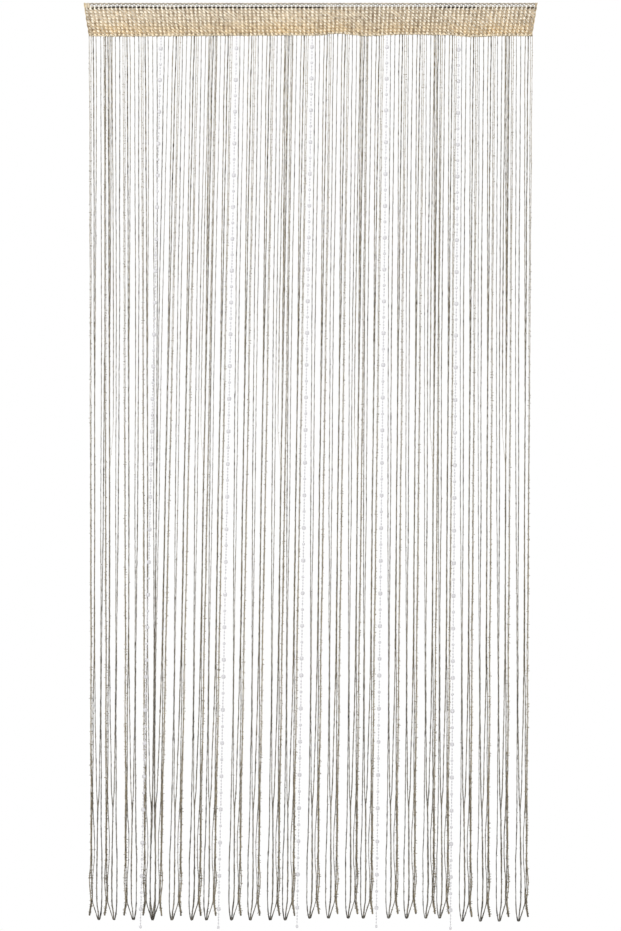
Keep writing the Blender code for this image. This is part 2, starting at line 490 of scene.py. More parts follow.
def on_wall(across, depth, side, lift):
    """Points on a wall of the heading: side is -1 for the front and 1 for the back, lift stands off it."""
    across, depth, side, lift = np.broadcast_arrays(across, depth, side, lift)
    half = smooth(depth / MM, column(WALL, "depth_mm"), column(WALL, "half_mm")) * MM
    ripple = RIPPLE_DEPTH * np.sin(np.pi * RIPPLE_HALF_WAVES * across)
    low = real_depth(across, depth)
    return np.stack([heading_x(across, low), side * (half + lift) + ripple, -low], axis=-1)


shallow, deep = (float(edge_depth(x)) / MM for x in (0.062, 0.356))
print("edge from", round(shallow, 1), "to", round(deep, 1), "mm")

# %% [markdown]
# ## The heading's cloth
# Under the raised stitches lies the ground of the knit, a thin cloth. It starts as a flat grid, is bent into
# a U down the front wall and up the back wall, and gets its thickness from Solidify. It begins a centimetre
# below the top edge: above it the knit is an open net that the white behind shows through. The cloth is
# painted darker in the grooves between two wales, which are the knit's upright rows: this is painted shade.

# %% Heading cloth
GROUND_TOP = 0.0096
GROUND_FOOT = 0.0012
GROUND_INSET = 0.0009
GROUND_THICKNESS = 0.0006
GROUND_WIDTH = 0.997
GROUND_TONE = 0.52
GROOVE_PAINTED_SHADE = 0.16
FOLD_SHARE = 0.05


def golden(depth):
    """Warmth of the knit: beige above, golden towards the foot."""
    return smooth(np.asarray(depth) / MM, (0, 12, 40, 52, 66, 75), (0.1, 0.25, 0.35, 0.60, 0.72, 0.5))


def heading_ground():
    bm = bmesh.new()
    bmesh.ops.create_grid(bm, x_segments=2 * WALES, y_segments=24, size=1.0)
    bm.verts.ensure_lookup_table()
    flat = np.array([vert.co[:] for vert in bm.verts])
    across, way = flat[:, 0], flat[:, 1]
    fold = HEADING_DEPTH - GROUND_FOOT
    depth = GROUND_TOP + (fold - GROUND_TOP) * (1 - np.abs(way))
    side = np.sign(way) * np.minimum(1, np.abs(way) / FOLD_SHARE)
    bent = on_wall(across * GROUND_WIDTH, depth, side, -GROUND_INSET)
    for vert, place in zip(bm.verts, bent):
        vert.co = place
    bmesh.ops.recalc_face_normals(bm, faces=bm.faces)
    mesh = bpy.data.meshes.new("heading_cloth")
    bm.to_mesh(mesh)
    bm.free()
    groove = np.cos(math.pi * WALES * (across + 1))
    patches = np.interp(across, np.linspace(-1, 1, WALES), soft_noise(WALES, 5))
    # painted shade: the tone is darkened in the grooves between the wales
    tone = GROUND_TONE - GROOVE_PAINTED_SHADE * groove + 0.10 * patches + 0.26 * chance.uniform(-1, 1, len(flat))
    set_attribute(mesh, "tone", tone)
    set_attribute(mesh, "warmth", golden(depth) * (1 + 0.35 * patches))
    return mesh


heading_cloth = add_piece("heading_cloth", heading_ground(), knit_ground)
thickness = heading_cloth.modifiers.new("thickness", "SOLIDIFY")
thickness.thickness = GROUND_THICKNESS
thickness.offset = 0.0
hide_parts("heading")

# %% [markdown]
# ## The heading's stitches
# The knit is a grid of slanted loops, 9 mm apart along the heading and 6.7 mm apart down it. One loop is a
# small ring of yarn: a circle spun round an axis, then squeezed to an oval. It is copied once for each
# stitch, and each copy gets its own slant, size and tone, so that no two stitches are quite alike.

# %% One stitch and its copies
FIRST_ROW = 0.0153
ROW_PITCH = 0.00672
ROWS = 9
BRIDGE_ROW = -0.52
SLANT = math.radians(-42)
StitchSize = namedtuple("StitchSize", "half_length half_height yarn_radius")
KNIT_LOOP = StitchSize(0.00170, 0.00065, 0.00128)
NET_LOOP = StitchSize(0.0040, 0.0024, 0.00064)
KNIT_LIFT = 0.0009
KNIT_TONE = 0.95
BRIDGE_LEAN = 0.5
BRIDGE_SIZE = 0.85
EDGE_WALES = 1.2
EDGE_DARKER = 0.40
Uneven = namedtuple("Uneven", "depth wale lean slant size wale_tone tone")
UNEVEN = Uneven(depth=0.0005, wale=0.07, lean=0.25, slant=0.30, size=0.16, wale_tone=0.18, tone=0.22)


def ring_template(name, size, steps, sides):
    """An oval ring of yarn in the XZ plane."""
    bm = bmesh.new()
    turn = Matrix.Rotation(math.radians(90), 3, "X")
    bmesh.ops.create_circle(bm, cap_ends=False, segments=sides, radius=size.yarn_radius)
    bmesh.ops.rotate(bm, verts=bm.verts, cent=(0, 0, 0), matrix=turn)
    bmesh.ops.translate(bm, verts=bm.verts, vec=(size.half_length, 0, 0))
    bmesh.ops.spin(
        bm, geom=bm.verts[:] + bm.edges[:], cent=(0, 0, 0), axis=(0, 0, 1), dvec=(0, 0, 0),
        angle=math.tau, steps=steps, use_merge=True, use_duplicate=False,
    )
    bmesh.ops.rotate(bm, verts=bm.verts, cent=(0, 0, 0), matrix=turn)
    squeeze = (size.half_height + size.yarn_radius) / (size.half_length + size.yarn_radius)
    bmesh.ops.scale(bm, verts=bm.verts, vec=(1, 1, squeeze))
    mesh = bpy.data.meshes.new(name)
    bm.to_mesh(mesh)
    bm.free()
    return mesh


def stitches(name, template, wales, rows, side, slants, sizes, lift):
    """Copies of the stitch on one wall: wales and rows say where, slants and sizes how each one lies."""
    points = points_of(template)
    cos, sin = np.cos(slants)[:, None], np.sin(slants)[:, None]
    along, down, out = (points[None, :, axis] * sizes[:, None] for axis in (0, 2, 1))
    x_shift = along * cos - down * sin
    z_shift = along * sin + down * cos
    across = (wales[:, None] + x_shift / WALE_PITCH) * 2 / WALES - 1
    places = on_wall(np.clip(across, -1, 1), rows[:, None] - z_shift, side, lift + out)
    return copies_mesh(name, [(template, places)])


def knit_wall(name, template, side):
    levels = np.concatenate([[BRIDGE_ROW], np.arange(ROWS)])
    wales, rows = (grid.ravel() for grid in np.meshgrid(np.arange(WALES) + 0.5, levels))
    count = len(wales)
    wale_tone = chance.uniform(-1, 1, WALES)[wales.astype(int)]
    sway = soft_noise(WALES, 6)[wales.astype(int)] * 0.12 * np.sin(rows * 1.3)
    depth = FIRST_ROW + ROW_PITCH * rows + chance.uniform(-1, 1, count) * UNEVEN.depth
    wales = wales + sway + chance.uniform(-1, 1, count) * UNEVEN.wale
    wale_lean = UNEVEN.lean * chance.uniform(-1, 1, WALES)[wales.astype(int)]
    slants = SLANT + wale_lean + chance.uniform(-1, 1, count) * UNEVEN.slant - BRIDGE_LEAN * (rows < 0)
    sizes = np.where(rows < 0, BRIDGE_SIZE, 1.0) * (1 + chance.uniform(-1, 1, count) * UNEVEN.size)
    mesh = stitches(name, template, wales, depth, side, slants, sizes, KNIT_LIFT)
    tone = KNIT_TONE + UNEVEN.wale_tone * wale_tone + UNEVEN.tone * chance.uniform(-1, 1, count)
    tone -= EDGE_DARKER * ((wales < EDGE_WALES) | (wales > WALES - EDGE_WALES))
    each = len(template.vertices)
    set_attribute(mesh, "tone", np.repeat(np.clip(tone, 0.1, 1), each))
    set_attribute(mesh, "warmth", np.repeat(golden(depth) * chance.uniform(0.6, 1.15, count), each))
    return add_piece(name, mesh, knit_yarn)


stitches_front = knit_wall("stitches_front", ring_template("front_loop", KNIT_LOOP, 10, 5), -1)
stitches_back = knit_wall("stitches_back", ring_template("back_loop", KNIT_LOOP, 7, 4), 1)

# %% [markdown]
# ## Yarn between the stitches
# Between two wales a golden inlay yarn shows as short slanted floats. Real knit is never even, so every
# float has its own place, thickness and tone. The side edges have two selvedge yarns on each wall, and two
# wavy golden yarns on each wall close the foot, where the strings come out. The photo shows the top left
# corner closed and beige, so five short upright yarns fill it on each wall.

# %% Inlay, selvedge and foot edging
WALLS = (-1, 1)
INLAY_RADIUS = 0.00076
FLOAT_WALES = np.array([-0.26, 0.0, 0.26])
FLOAT_FALL = np.array([-0.0021, 0.0, 0.0021])
FLOAT_LIFT = np.array([0.0, 0.0009, 0.0])
LOWEST_FLOAT = HEADING_DEPTH - 0.0006
SELVEDGE_INSETS = (0.10, 0.36)
SELVEDGE_RADIUS = 0.00095
CORNER_INSETS = (0.55, 0.74, 0.93, 1.12, 1.31)
CORNER_DEPTHS = np.linspace(0.0018, 0.0150, 6)
FOOT_RADIUS = 0.00090
FOOT_SWAY = 0.0009
FootRow = namedtuple("FootRow", "inset phase")
FOOT_ROWS = (FootRow(0.0026, 0.0), FootRow(0.0009, 0.5))


def wall_yarn(wales, depth, side, lift, radius, tone, warmth):
    path = on_wall(np.clip(np.asarray(wales) * 2 / WALES - 1, -1, 1), depth, side, lift)
    return Yarn(path, radius, tone, warmth)


def inlay_yarns():
    yarns = []
    for side in WALLS:
        for wale in range(1, WALES):
            for row in range(ROWS + 1):
                depth = FIRST_ROW + ROW_PITCH * (row - 0.45) + chance.uniform(-1, 1) * 0.0006
                wales = wale + chance.uniform(-1, 1) * 0.06 + FLOAT_WALES
                fall = FLOAT_FALL * chance.uniform(0.8, 1.2)
                depths = np.minimum(depth + fall, LOWEST_FLOAT)
                radius = INLAY_RADIUS * chance.uniform(0.7, 1.3)
                tone = chance.uniform(0.0, 0.85)
                warmth = golden(depth) * chance.uniform(0.6, 1.4)
                yarns.append(wall_yarn(wales, depths, side, FLOAT_LIFT, radius, tone, warmth))
    return yarns


def selvedge_yarns():
    yarns = []
    depth = np.linspace(0.0012, HEADING_DEPTH - 0.001, 40)
    for side in WALLS:
        for end in (0.0, WALES):
            for inset in SELVEDGE_INSETS:
                wave = 0.05 * np.sin(depth / 0.0022 + inset * 9)
                wales = abs(end - inset) + wave
                darker = 0.30 * ease((depth - 0.012) / 0.035) * (end == 0.0)
                tone = 0.48 - darker + 0.25 * soft_noise(len(depth), 2)
                radius = SELVEDGE_RADIUS * (1 + 0.18 * soft_noise(len(depth), 2))
                yarns.append(wall_yarn(wales, depth, side, 0.0002, radius, tone, 0.9))
        for inset in CORNER_INSETS:
            wales = inset + 0.03 * chance.uniform(-1, 1, len(CORNER_DEPTHS))
            tone = chance.uniform(0.35, 0.7)
            yarns.append(wall_yarn(wales, CORNER_DEPTHS, side, 0.0, SELVEDGE_RADIUS, tone, 0.5))
    return yarns


def foot_yarns():
    yarns = []
    wales = np.linspace(0.05, WALES - 0.05, WALES * 6)
    for side in WALLS:
        for row in FOOT_ROWS:
            depth = HEADING_DEPTH - row.inset + FOOT_SWAY * np.sin(math.tau * (wales + row.phase))
            depth = depth + FOOT_SWAY * soft_noise(len(wales), 5)
            tone = 0.50 + 0.40 * soft_noise(len(wales), 2)
            radius = FOOT_RADIUS * (1 + 0.35 * soft_noise(len(wales), 2))
            yarns.append(wall_yarn(wales, depth, side, 0.0003, radius, tone, 0.75))
    return yarns


inlay = add_piece("inlay_yarn", tube_mesh("inlay_yarn", inlay_yarns()), knit_yarn)
selvedge = add_piece("selvedge", tube_mesh("selvedge", selvedge_yarns(), 1), knit_yarn)
foot_edging = add_piece("foot_edging", tube_mesh("foot_edging", foot_yarns(), 0), knit_yarn)

# %% [markdown]
# ## The open net along the top
# Above the rod pocket the knit opens out: one row of large slanted loops in thin grey yarn, between a
# scalloped top yarn and a thinner one below. Light from behind comes through it. The loops are the same
# oval ring as a stitch, spun with a thinner yarn and a wider opening.

# %% Top net
NET_DEPTH = 0.0072
NET_SLANT = math.radians(-24)
NET_SHAKE = chance.uniform(-1, 1, (3, WALES))


def net_wall(name, side):
    """The same loops on both walls, so that light comes through both."""
    wales = np.arange(WALES) + 0.5
    slants = NET_SLANT + 0.10 * NET_SHAKE[0]
    sizes = 1 + 0.06 * NET_SHAKE[1]
    depth = NET_DEPTH + 0.0003 * NET_SHAKE[2]
    mesh = stitches(name, net_template, wales, depth, side, slants, sizes, -0.0002)
    each = len(net_template.vertices)
    set_attribute(mesh, "tone", np.repeat(0.42 + 0.25 * chance.uniform(-1, 1, WALES), each))
    set_attribute(mesh, "warmth", np.full(WALES * each, 0.65))
    return add_piece(name, mesh, net_yarn)


NetRow = namedtuple("NetRow", "depth_mm sway_mm phase radius_mm tone")
NET_ROWS = (
    NetRow(2.4, 0.5, 0.50, 1.10, 0.48),
    NetRow(10.6, 0.3, 0.25, 0.45, 0.75),
)


def top_yarns():
    wales = np.linspace(0.02, WALES - 0.02, WALES * 6)
    yarns = []
    for side in WALLS:
        for row in NET_ROWS:
            depth = row.depth_mm + row.sway_mm * np.cos(math.tau * (wales + row.phase))
            tone = row.tone + 0.25 * soft_noise(len(wales), 2)
            yarns.append(wall_yarn(wales, depth * MM, side, -0.0002, row.radius_mm * MM, tone, 0.5))
    return yarns


net_template = ring_template("net_template", NET_LOOP, 12, 4)
net_front = net_wall("net_front", -1)
net_back = net_wall("net_back", 1)
net_edges = add_piece("net_edges", tube_mesh("net_edges", top_yarns()), net_yarn)

# %% [markdown]
# ## The dark thread, partly painted shade
# A near-black thread runs along the top of the rod pocket, in and out of the wales, so it shows as a row of
# dashes. Its near-black colour is partly painted shade, the dark hollow of the pocket seen through the knit.
# It is drawn tight in some stretches and almost hidden in others. Its table gives its depth, radius
# and tone by place along the heading, and steps in the path send it through the cloth between dashes.

# %% Running thread
ThreadRow = namedtuple("ThreadRow", "x_mm depth_mm radius_mm tone")
THREAD = (
    ThreadRow(-497, 14.0, 0.45, 0.70),
    ThreadRow(-486, 13.8, 0.60, 0.45),
    ThreadRow(-478, 13.2, 1.05, 0.00),
    ThreadRow(-420, 11.2, 1.20, 0.00),
    ThreadRow(-330, 12.2, 1.10, 0.00),
    ThreadRow(-310, 13.0, 0.95, 0.05),
    ThreadRow(-280, 11.8, 1.15, 0.00),
    ThreadRow(-120, 12.0, 1.10, 0.00),
    ThreadRow(20, 11.9, 1.10, 0.00),
    ThreadRow(36, 12.2, 0.70, 0.35),
    ThreadRow(150, 12.0, 0.60, 0.55),
    ThreadRow(270, 11.8, 0.65, 0.45),
    ThreadRow(290, 11.7, 1.10, 0.00),
    ThreadRow(358, 12.0, 1.10, 0.00),
    ThreadRow(376, 12.3, 0.65, 0.45),
    ThreadRow(468, 12.4, 0.65, 0.50),
    ThreadRow(480, 12.4, 1.10, 0.05),
    ThreadRow(497, 12.6, 1.00, 0.10),
)
THREAD_FULLNESS = 1.6
DASH_START = -0.45
DASH_LIFT = 0.0012
DASH_SINK = -0.0024
DASH_TILT = -0.35


def thread_yarns():
    wales = np.linspace(0.1, WALES - 0.1, WALES * 8)
    x = (wales * 2 / WALES - 1) * TOP_HALF_WIDTH / MM
    table_x = column(THREAD, "x_mm")
    depth, radius, tone = (
        smooth(x, table_x, column(THREAD, name)) for name in ("depth_mm", "radius_mm", "tone")
    )
    lift = np.where(np.cos(math.tau * wales) > DASH_START, DASH_LIFT, DASH_SINK)
    tilted = (depth + DASH_TILT * np.sin(math.tau * wales)) * MM
    full_radius = THREAD_FULLNESS * radius * MM
    return [wall_yarn(wales, tilted, side, lift, full_radius, tone, 0.3) for side in WALLS]


# the thread's dashes are partly painted shade of the rod pocket's hollow
thread_mesh = tube_mesh("dark_thread_and_shade", thread_yarns())
dark_thread_and_shade = add_piece("dark_thread_and_shade", thread_mesh, pocket_thread_and_shade)

# %% [markdown]
# ## The yarn strings
# Each cluster is three loops of yarn: strings a and b, c and d, e and f. Every loop is one path that leaves
# the heading's foot, runs down to its tip, turns round and comes back up. All clusters have the same
# shape, mirrored in the first group. The first table says how far each string lies beside the cluster's
# line, and later ones how thick, pale and warm it is at each height. The third cluster of each group has a
# fourth loop, g and h, that runs into c and d on its way down.

# %% String tables
StringRow = namedtuple("StringRow", "drop a b c d e f")
STRING_TABLE = (
    StringRow(0, 0.2, 9.6, 19.9, 26.0, 30.6, 34.8),
    StringRow(33, 0.0, 9.4, 19.2, 26.0, 30.4, 34.6),
    StringRow(75, 0.0, 9.1, 18.4, 25.0, 30.4, 34.2),
    StringRow(142, -0.7, 8.3, 18.0, 24.2, 30.0, 33.4),
    StringRow(207, -0.8, 7.8, 17.9, 23.8, 29.4, 32.4),
    StringRow(360, -1.5, 6.3, 17.5, 22.0, 28.8, 31.2),
    StringRow(580, -3.0, 4.3, 17.6, 20.4, 26.8, 28.9),
    StringRow(798, -3.0, 3.2, 16.9, 18.4, 25.9, 27.6),
    StringRow(1018, -2.8, 3.0, 15.3, 16.8, 24.0, 25.4),
    StringRow(1193, -1.8, 1.5, 14.8, 16.0, 22.8, 24.2),
    StringRow(1346, -1.0, 0.8, 14.0, 15.6, 21.0, 22.6),
    StringRow(1472, -0.6, 0.7, 12.2, 17.0, 20.6, 22.4),
    StringRow(1570, -1.3, 1.7, 9.8, 16.4, 19.4, 21.4),
    StringRow(1650, -2.0, 2.4, 8.0, 16.6, 17.8, 20.0),
    StringRow(1698, -2.3, 4.6, 5.2, 15.2, 17.8, 20.0),
    StringRow(1762, -3.4, 5.6, 5.4, 12.0, 18.4, 19.8),
    StringRow(1806, -5.0, 6.2, 5.6, 12.4, 17.8, 19.6),
    StringRow(1850, -5.0, 6.6, 6.0, 15.3, 18.0, 21.8),
    StringRow(1894, -4.9, 6.0, 5.4, 15.2, 16.2, 18.6),
    StringRow(1906, -4.5, 5.0, 4.4, 12.6, 17.0, 19.0),
    StringRow(1917, -3.8, 3.2, 2.8, 9.2, 18.4, 20.2),
    StringRow(1927, -2.4, 2.2, 2.0, 6.0, 19.6, 21.4),
    StringRow(1936, -0.6, 2.0, 1.6, 3.4, 20.8, 22.4),
)
ExtraRow = namedtuple("ExtraRow", "drop g h")
EXTRA_TABLE = (
    ExtraRow(0, 17.0, 23.0),
    ExtraRow(99, 16.1, 21.8),
    ExtraRow(252, 14.2, 20.8),
    ExtraRow(340, 12.7, 19.8),
    ExtraRow(449, 11.8, 19.2),
    ExtraRow(559, 10.6, 18.4),
    ExtraRow(668, 9.7, 17.6),
    ExtraRow(790, 9.2, 17.2),
)
EXTRA_MERGE = (860, 960)
FOLLOWED = {"g": "c", "h": "d"}
StringKind = namedtuple("StringKind", "name lane rise_mm tufts tuft_half")
STRING_KINDS = (
    StringKind("a", 1, 0.0, 24, 2.0),
    StringKind("b", 0, 0.0, 24, 2.0),
    StringKind("c", -1, 0.0, 24, 2.0),
    StringKind("d", 1, 0.0, 24, 2.0),
    StringKind("e", 0, 9.0, 150, 3.1),
    StringKind("f", -1, 9.0, 150, 3.1),
    StringKind("g", -2, 3.0, 24, 2.0),
    StringKind("h", -2, 3.0, 24, 2.0),
)
STRINGS = {kind.name: kind for kind in STRING_KINDS}
LookRow = namedtuple("LookRow", "drop a b c d e f g h")
THICK_TABLE = (
    LookRow(0, 0.90, 0.95, 1.00, 1.24, 0.72, 0.72, 1.15, 0.75),
    LookRow(200, 1.10, 0.98, 1.00, 1.24, 0.74, 0.74, 1.10, 0.75),
    LookRow(400, 1.05, 1.02, 1.03, 1.08, 0.80, 0.80, 1.10, 0.80),
    LookRow(580, 0.92, 1.05, 1.06, 1.10, 0.66, 0.66, 1.20, 0.80),
    LookRow(800, 0.90, 0.86, 0.68, 0.72, 0.64, 0.64, 0.85, 0.70),
    LookRow(910, 0.94, 0.88, 0.67, 0.70, 0.66, 0.66, 0.36, 0.36),
    LookRow(1018, 0.98, 0.90, 0.66, 0.68, 0.68, 0.68, 0.60, 0.60),
    LookRow(1200, 0.86, 0.88, 0.84, 0.84, 0.72, 0.72, 0.55, 0.55),
    LookRow(1346, 0.76, 0.78, 0.88, 0.86, 0.62, 0.62, 0.55, 0.55),
    LookRow(1472, 0.92, 0.95, 0.98, 0.84, 0.58, 0.58, 0.55, 0.55),
    LookRow(1570, 0.90, 0.92, 0.88, 0.76, 0.66, 0.66, 0.55, 0.55),
    LookRow(1700, 0.96, 1.02, 0.94, 0.72, 0.86, 0.86, 0.55, 0.55),
    LookRow(1806, 1.05, 1.15, 1.00, 0.62, 0.88, 0.88, 0.55, 0.55),
    LookRow(1880, 0.92, 1.00, 0.90, 0.70, 0.90, 0.90, 0.55, 0.55),
    LookRow(1936, 1.20, 1.15, 1.15, 0.90, 0.82, 0.82, 0.55, 0.55),
)
PALE_TABLE = (
    LookRow(0, 0.06, 0.06, 0.06, -0.05, 0.35, 0.37, 0.10, 0.16),
    LookRow(400, 0.02, 0.03, 0.05, -0.01, 0.24, 0.26, 0.06, 0.12),
    LookRow(830, 0.04, 0.04, 0.07, 0.04, 0.26, 0.28, 0.10, 0.12),
    LookRow(910, 0.04, 0.04, 0.07, 0.05, 0.26, 0.28, 0.46, 0.42),
    LookRow(1000, 0.05, 0.05, 0.07, 0.05, 0.26, 0.28, 0.06, 0.08),
    LookRow(1350, 0.13, 0.13, 0.05, 0.04, 0.25, 0.27, 0.06, 0.06),
    LookRow(1480, 0.03, 0.03, 0.04, 0.04, 0.27, 0.29, 0.04, 0.04),
    LookRow(1600, 0.12, 0.11, 0.04, 0.04, 0.17, 0.19, 0.04, 0.04),
    LookRow(1700, 0.05, 0.04, 0.10, 0.05, 0.10, 0.12, 0.04, 0.04),
    LookRow(1915, 0.03, 0.02, 0.03, 0.04, 0.07, 0.09, 0.03, 0.03),
    LookRow(1936, -0.10, -0.10, -0.10, -0.08, 0.00, 0.02, -0.05, -0.05),
)
WARM_TABLE = (
    LookRow(0, 0.20, 0.30, 0.55, 0.65, 0.30, 0.35, 0.70, 0.85),
    LookRow(350, 0.25, 0.35, 0.55, 0.60, 0.30, 0.35, 0.50, 0.50),
    LookRow(900, 0.25, 0.30, 0.40, 0.45, 0.25, 0.30, 0.40, 0.40),
    LookRow(1200, 0.20, 0.30, 0.55, 0.60, 0.40, 0.45, 0.40, 0.40),
    LookRow(1700, 0.10, 0.20, 0.35, 0.40, 0.60, 0.60, 0.40, 0.40),
)
LOOPS = (("a", "b"), ("c", "d"), ("e", "f"))
EXTRA_LOOPS = {2: (("g", "h"),)}
Group = namedtuple("Group", "hand lane_shift tip_depth tops tips")
GROUPS = (
    Group(-1, 3, 2008.9, (-336.2, -376.0, -417.9, -450.0), (-348.0, -389.8, -432.5, -465.6)),
    Group(1, 0, 2008.9, (-320.0, -280.3, -238.9, -206.1), (-344.7, -302.2, -258.9, -226.4)),
    Group(1, 0, 2008.9, (-154.4, -114.3, -72.9, -39.6), (-171.3, -130.3, -86.7, -53.9)),
    Group(1, 0, 2005.0, (10.7, 50.2, 91.8, 124.8), (-0.4, 40.7, 84.1, 117.2)),
    Group(1, 0, 2005.0, (175.4, 214.2, 254.0, 285.0), (172.6, 212.0, 253.8, 284.3)),
    Group(1, 0, 2011.5, (331.3, 369.7, 409.7, 450.9), (334.2, 373.7, 414.9, 457.3)),
)
LANE_PITCH = 1.7
TIP_DROP = 1936.0
TIP_LINE = 2.8
ROOT_INSET = 2.6
RISE_START = 1880.0
POINT_PITCH = 5.6
DepthRow = namedtuple("DepthRow", "drop radius_mm tone")
YARN_TABLE = (
    DepthRow(0, 0.90, 0.26),
    DepthRow(300, 0.95, 0.25),
    DepthRow(900, 1.10, 0.23),
    DepthRow(1500, 1.26, 0.19),
    DepthRow(1936, 1.32, 0.18),
)

# %% [markdown]
# ## Nubs and wobble
# The yarn is nubbly: its thickness and tone change at random from one ring of the tube to the next, with
# slower changes beneath and a small dark nub now and then. Smooth noise gives each string its own sideways
# wobble. It all comes from one seeded generator, so every run gives the same curtain.

# %% String paths
TIP_ROOM = 1.2
ROOT_DEPTH = 70
ROOT_LANE_HALF = 0.9
SPREAD_DROP = 40
FREE_DROP = 60
TIP_STILLNESS = 0.7
Wobble = namedtuple("Wobble", "size reach")
SLOW_SIDEWAYS = Wobble(0.30, 14)
QUICK_SIDEWAYS = Wobble(0.26, 1.3)
IN_DEPTH = Wobble(0.12, 8)
EVEN_SWELL = 0.98
RING_SWELL = 0.24
SLOW_SWELL = 0.06
ROOT_SWELL = 0.7
RING_TONE = 0.10
SLOW_TONE = 0.04
NUB_SHARE = 0.06
NUB_SWELL = (0.15, 0.4)
NUB_DARKER = 0.20


def string_offset(name, drops):
    """How far a string lies beside its cluster's line. Strings g and h run into c and d lower down."""
    followed = FOLLOWED.get(name, name)
    offset = smooth(drops, column(STRING_TABLE, "drop"), column(STRING_TABLE, followed))
    if name == followed:
        return offset
    own = smooth(drops, column(EXTRA_TABLE, "drop"), column(EXTRA_TABLE, name))
    start, end = EXTRA_MERGE
    return own + (offset - own) * ease((drops - start) / (end - start))


def string_line(group, cluster, kind):
    """The string's points in millimetres from its root to just above its tip."""
    drops = np.linspace(0, TIP_DROP - TIP_ROOM, int(TIP_DROP / POINT_PITCH))
    count = len(drops)
    share = drops / TIP_DROP
    near_tip = ease((drops - RISE_START) / (TIP_DROP - RISE_START))
    top, tip = group.tops[cluster], group.tips[cluster]
    offset = string_offset(kind.name, drops)
    x = top + (tip - top - group.hand * TIP_LINE) * share + group.hand * offset
    root = -float(edge_depth(x[0] * MM)) / MM + ROOT_INSET
    z = root + (-group.tip_depth - root) * share + kind.rise_mm * near_tip
    lane = (kind.lane + group.lane_shift) * LANE_PITCH
    root_lane = np.clip(lane, -ROOT_LANE_HALF, ROOT_LANE_HALF)
    y = root_lane + (lane - root_lane) * ease(drops / SPREAD_DROP)
    free = ease(drops / FREE_DROP) * (1 - TIP_STILLNESS * near_tip)
    slow = SLOW_SIDEWAYS.size * soft_noise(count, SLOW_SIDEWAYS.reach)
    quick = QUICK_SIDEWAYS.size * soft_noise(count, QUICK_SIDEWAYS.reach)
    x = x + free * (slow + quick)
    y = y + free * IN_DEPTH.size * soft_noise(count, IN_DEPTH.reach)
    return np.column_stack([x, y, z])


def loop_turn(down, up):
    """Points of the round turn between two strings at a loop's tip."""
    middle = (down + up) / 2
    radius = max(0.9, abs(up[0] - down[0]) / 2)
    angles = np.linspace(0, math.pi, 7)[1:-1]
    turn = middle + (down - middle) * np.cos(angles)[:, None]
    turn[:, 2] -= radius * np.sin(angles)
    return turn


def look_value(table, name, drops):
    """Thickness, paleness or warmth of a string at a drop below its root."""
    return smooth(drops, column(table, "drop"), column(table, name))


def look_along(path, first, second):
    """Radius in millimetres, tone and warmth for each point of a loop: down one string, up the other."""
    drops = -path[:, 2] - ROOT_DEPTH
    on_first = np.arange(len(path)) < len(path) / 2
    radius = look_value(YARN_TABLE, "radius_mm", drops)
    tone = look_value(YARN_TABLE, "tone", drops)
    thick, pale, warm = (
        np.where(on_first, look_value(table, first.name, drops), look_value(table, second.name, drops))
        for table in (THICK_TABLE, PALE_TABLE, WARM_TABLE)
    )
    return radius * thick, tone + pale, warm


def loop_yarn(group, cluster, names):
    first, second = (STRINGS[name] for name in names)
    down = string_line(group, cluster, first)
    up = string_line(group, cluster, second)[::-1]
    turn = loop_turn(down[-1], up[0])
    path = np.concatenate([down, turn, up])
    count = len(path)
    radius, tone, warmth = look_along(path, first, second)
    nubs = np.where(chance.random(count) < NUB_SHARE, chance.uniform(*NUB_SWELL, count), 0.0)
    swell = EVEN_SWELL + RING_SWELL * chance.uniform(-1, 1, count)
    swell = swell + SLOW_SWELL * soft_noise(count, 12) + nubs
    swell[[0, -1]] += ROOT_SWELL
    tone = tone + RING_TONE * chance.uniform(-1, 1, count)
    tone = tone + SLOW_TONE * soft_noise(count, 20) - NUB_DARKER * nubs
    return Yarn(path * MM, radius * swell * MM, np.clip(tone, 0, 1), warmth)


# %% [markdown]
# ## Tufts
# Fibre ends stand out of the yarn as small tufts. They are few on most strings, and many on e and f, where
# they make the yarn look furry. A tuft is a short tube that crosses the yarn, thicker at one end, and it
# reaches further out towards the foot of the curtain.

# %% Tufts and string groups
TUFT_RADIUS = 0.72
TUFT_CROWDING = 1.25


def tufts(path, kind):
    """Short yarns across the path, closer together towards the foot."""
    yarns = []
    places = 1 - chance.random(kind.tufts) ** TUFT_CROWDING
    for place in places:
        at = path[int(place * (len(path) - 3))]
        drop = -at[2] - ROOT_DEPTH
        lean = chance.uniform(-0.9, 0.9)
        across = np.array([np.cos(lean), chance.uniform(-0.7, 0.7), np.sin(lean)])
        reach = kind.tuft_half * (0.45 + 0.55 * drop / TIP_DROP)
        half = across * reach * chance.uniform(0.7, 1.2)
        middle = at + np.array([chance.uniform(-1, 1), 0, 0])
        radius = TUFT_RADIUS * np.array([0.55, 0.9]) * chance.uniform(0.7, 1.2)
        pale = look_value(PALE_TABLE, kind.name, drop)
        tone = np.clip(0.19 + 0.85 * pale + 0.09 * chance.uniform(-1, 1), 0, 1)
        ends = np.array([middle - half, middle + half])
        yarns.append(Yarn(ends * MM, radius * MM, tone, look_value(WARM_TABLE, kind.name, drop)))
    return yarns


def add_string_group(number, group):
    yarns = []
    for cluster in range(len(group.tops)):
        for names in LOOPS + EXTRA_LOOPS.get(cluster, ()):
            loop = loop_yarn(group, cluster, names)
            yarns.append(loop)
            middle = len(loop.path) // 2
            halves = (loop.path[:middle] / MM, loop.path[:middle:-1] / MM)
            for half, name in zip(halves, names):
                yarns += tufts(half, STRINGS[name])
    name = f"yarn_group_{number}"
    piece = add_piece(name, tube_mesh(name, yarns), string_yarn)
    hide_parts("yarn_strings")


for number, group in enumerate(GROUPS, 1):
    add_string_group(number, group)

# %% [markdown]
# ## Clear bead material
# The beads look like clear plastic, faintly grey. In a white room clear plastic would vanish, because every
# ray through it ends on white. So the plastic here is mostly milky with a grey tint, and lets a little light
# through, which gives the soft grey discs that the photo shows.

# %% Bead material


